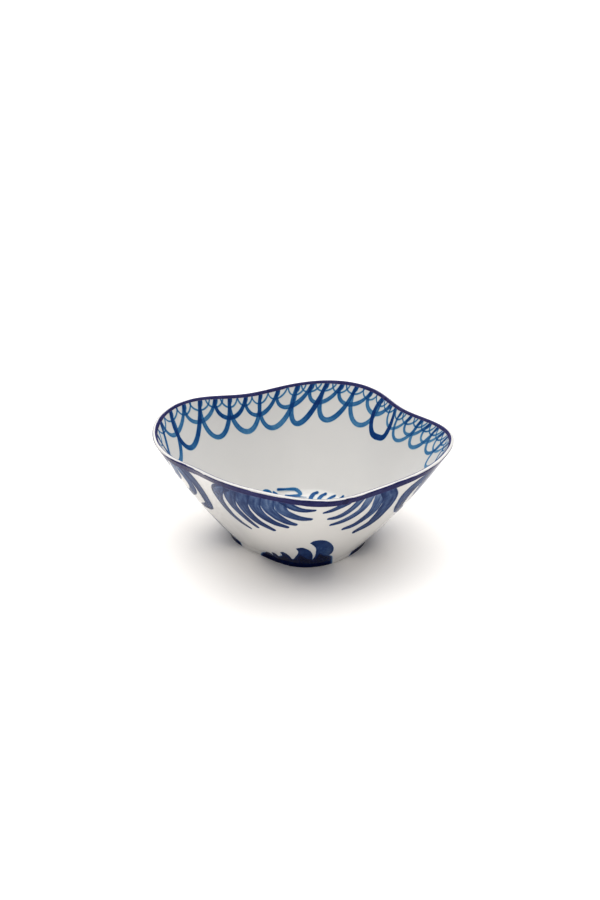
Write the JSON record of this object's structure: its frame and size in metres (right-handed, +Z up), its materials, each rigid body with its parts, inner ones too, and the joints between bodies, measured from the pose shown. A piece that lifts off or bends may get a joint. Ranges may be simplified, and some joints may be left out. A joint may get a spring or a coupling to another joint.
{
  "type": "serving bowl",
  "caption": "Soft-cornered porcelain serving bowl with a wavy lip, a low foot and hand-brushed cobalt scallops, wing fans and crests under a clear glaze.",
  "frame": {"origin": "centre of the bowl's outline at table level, under the foot", "axes": "+Z up out of the bowl's mouth; the four soft corners of the lip point along +X, +Y, -X and -Y"},
  "size_m": [0.251, 0.2446, 0.103],
  "materials": {
    "porcelain": "fired white porcelain body, hidden under the glaze",
    "bare_porcelain": "unglazed, ground smooth where it stands",
    "clear_glaze": "glossy clear glaze over white, slightly warm",
    "cobalt_line": "banded violet-navy cobalt line under gloss glaze",
    "cobalt_wash": "thin translucent cobalt brush line under gloss glaze, darker where strokes cross",
    "cobalt_stroke": "loaded cobalt brush stroke, streaky, under gloss glaze",
    "cobalt_dark": "dense near-black cobalt under gloss glaze"
  },
  "bodies": {
    "root": {"porcelain_body": "porcelain", "foot_ring": "bare_porcelain", "outer_glaze": "clear_glaze", "inner_glaze": "clear_glaze", "base_glaze": "clear_glaze", "rim_band_outer": "cobalt_line", "rim_line_inner": "cobalt_line", "scallop_border": "cobalt_wash", "floor_motif": "cobalt_wash", "wing_1_left": "cobalt_stroke", "wing_1_right": "cobalt_stroke", "crest_1": "cobalt_dark", "wing_2_left": "cobalt_stroke", "wing_2_right": "cobalt_stroke", "crest_2": "cobalt_dark", "wing_3_left": "cobalt_stroke", "wing_3_right": "cobalt_stroke", "crest_3": "cobalt_dark", "wing_4_left": "cobalt_stroke", "wing_4_right": "cobalt_stroke", "crest_4": "cobalt_dark"}
  },
  "joints": []
}
